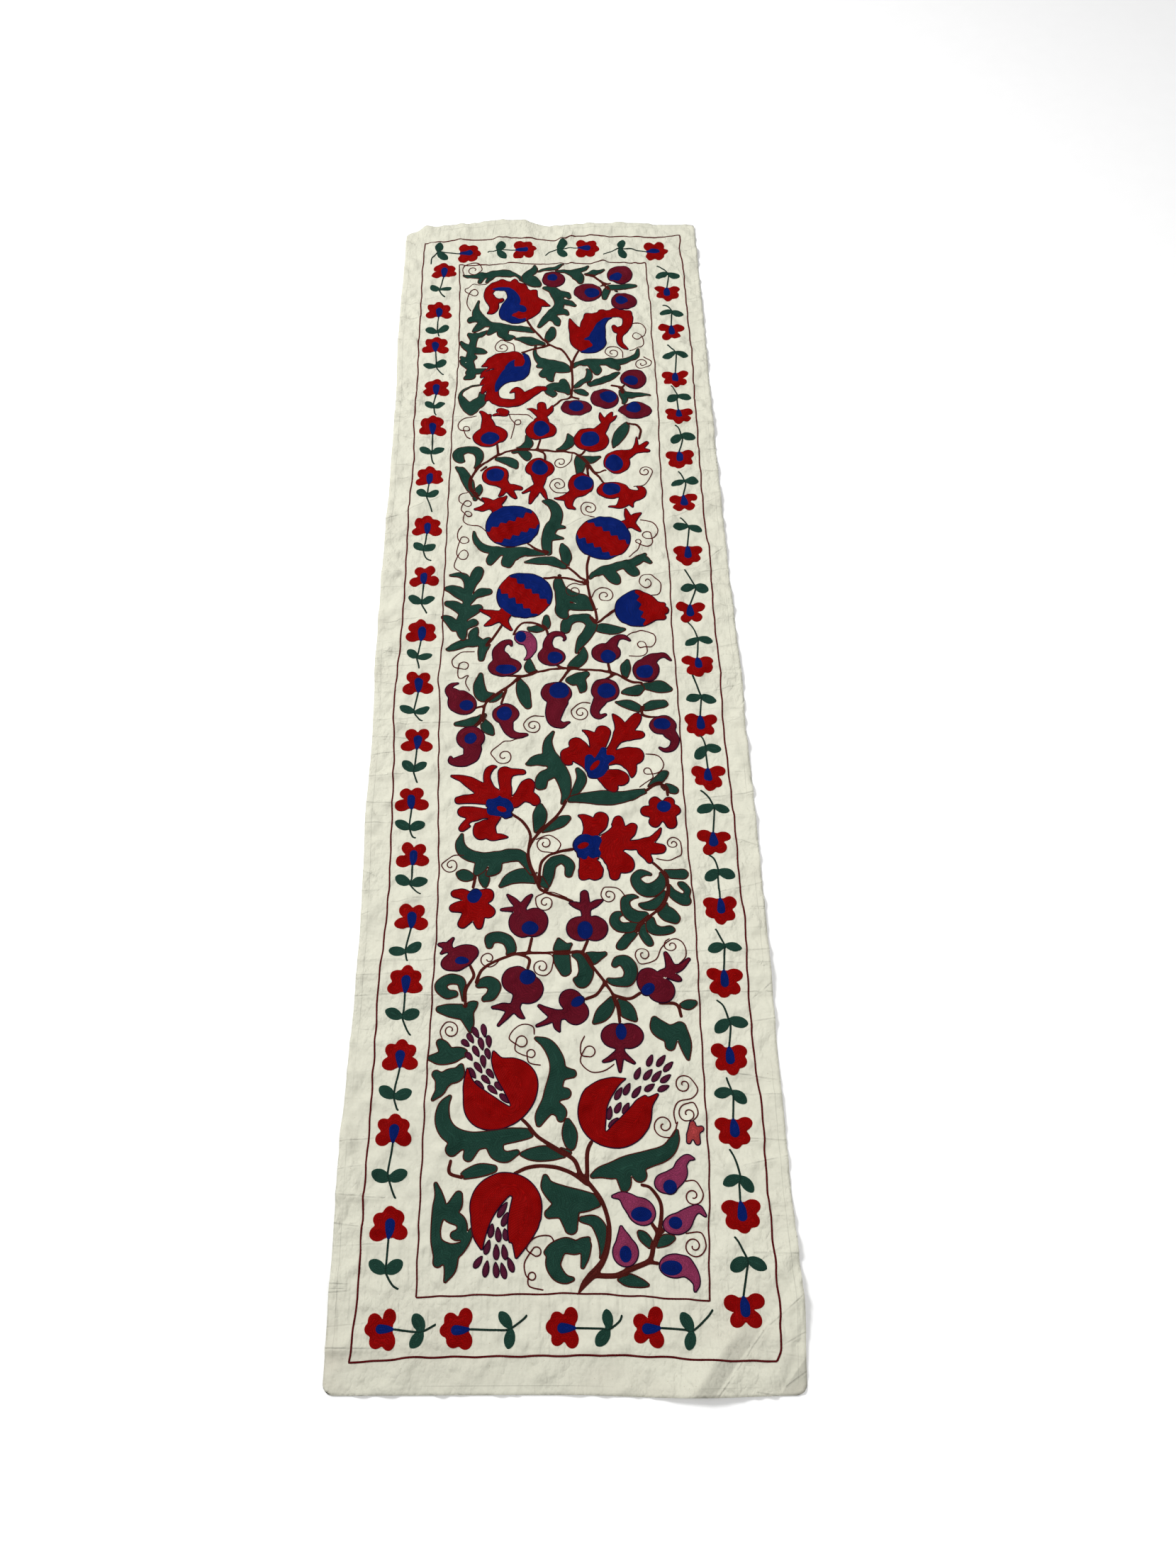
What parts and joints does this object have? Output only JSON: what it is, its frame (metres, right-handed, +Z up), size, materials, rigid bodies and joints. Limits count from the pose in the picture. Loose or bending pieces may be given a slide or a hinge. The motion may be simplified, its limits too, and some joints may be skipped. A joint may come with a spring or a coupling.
{
  "type": "embroidered textile runner",
  "caption": "Long narrow cream cotton cloth with stitched flowers, pomegranates, leaves and tendrils inside a flower border, laid flat with storage creases.",
  "frame": {"origin": "centre of the laid cloth's outline, on the surface it lies on", "axes": "+Y along the cloth's length towards its top end, +X across its width, +Z up through its thickness, face side up"},
  "size_m": [0.5092, 1.8247, 0.0096],
  "materials": {
    "cream_cotton": "matt plain-weave cotton, slightly creased and stained"
  },
  "bodies": {
    "root": {"suzani_cloth": "cream_cotton"}
  },
  "joints": []
}
